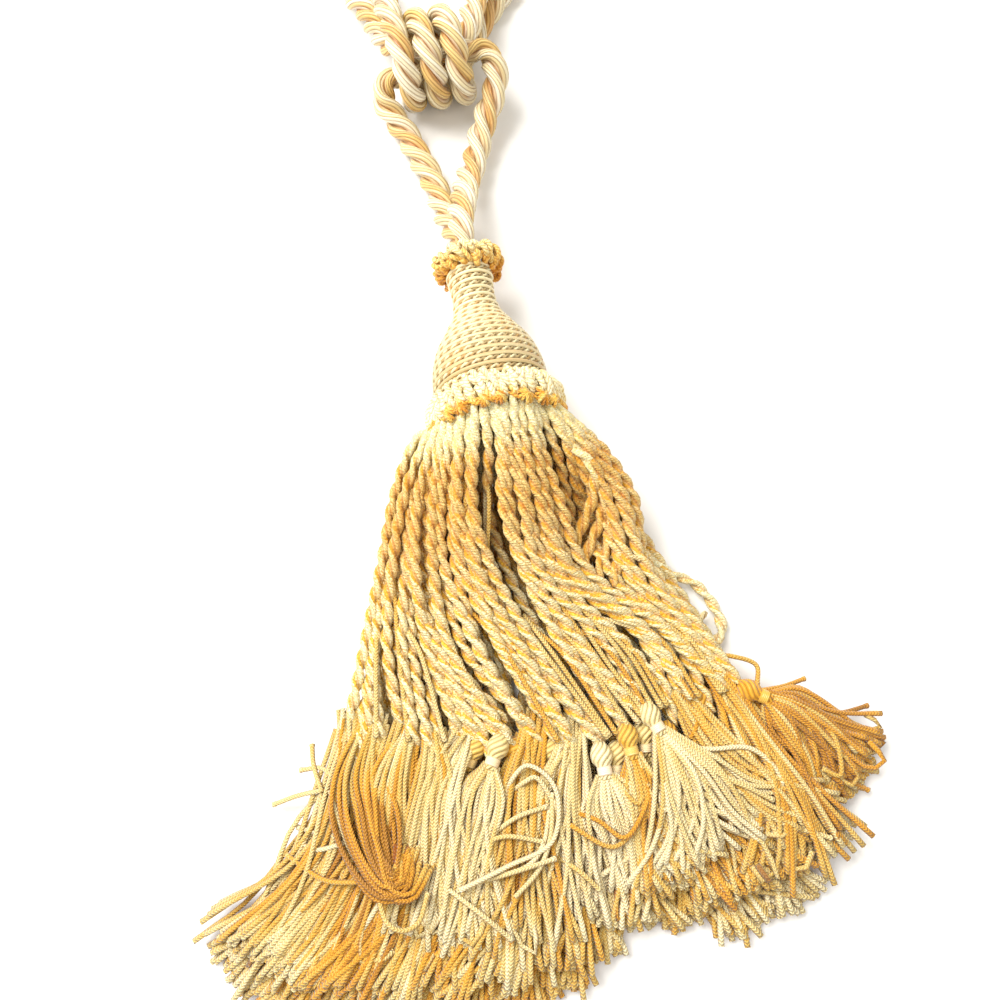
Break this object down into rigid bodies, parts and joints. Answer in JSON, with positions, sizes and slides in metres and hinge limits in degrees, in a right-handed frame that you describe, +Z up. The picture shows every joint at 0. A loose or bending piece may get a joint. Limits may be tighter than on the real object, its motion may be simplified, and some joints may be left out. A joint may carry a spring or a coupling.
{
  "type": "curtain tieback tassel",
  "caption": "Curtain tieback: a knotted twisted rope with an eye at each end and a large wound tassel with a bullion skirt, lying on its side.",
  "frame": {"origin": "on the table, below the middle of the box round the tassel alone, the rope left out", "axes": "+Y along the tassel towards its rope and the rope's eyes, +X to the right seen with the rope away from the viewer, +Z up off the table"},
  "size_m": [0.202, 0.5228, 0.0433],
  "materials": {
    "rope": "satin twisted rope of rayon yarn, two cream plies and one gold",
    "gold_gimp": "looped gold and cream gimp",
    "winding": "smooth cream thread wound beside a fine twisted cord",
    "cream_gimp": "thick looped cream gimp",
    "gold_stitching": "gold stitching yarn",
    "bullion": "cream and gold chainette twisted into bullion cords, with loose tails"
  },
  "bodies": {
    "root": {"rope": "rope", "neck_ruff": "gold_gimp", "head_winding": "winding", "collar_ruff": "cream_gimp", "stitch_row": "gold_stitching", "skirt_fringe": "bullion"}
  },
  "joints": []
}
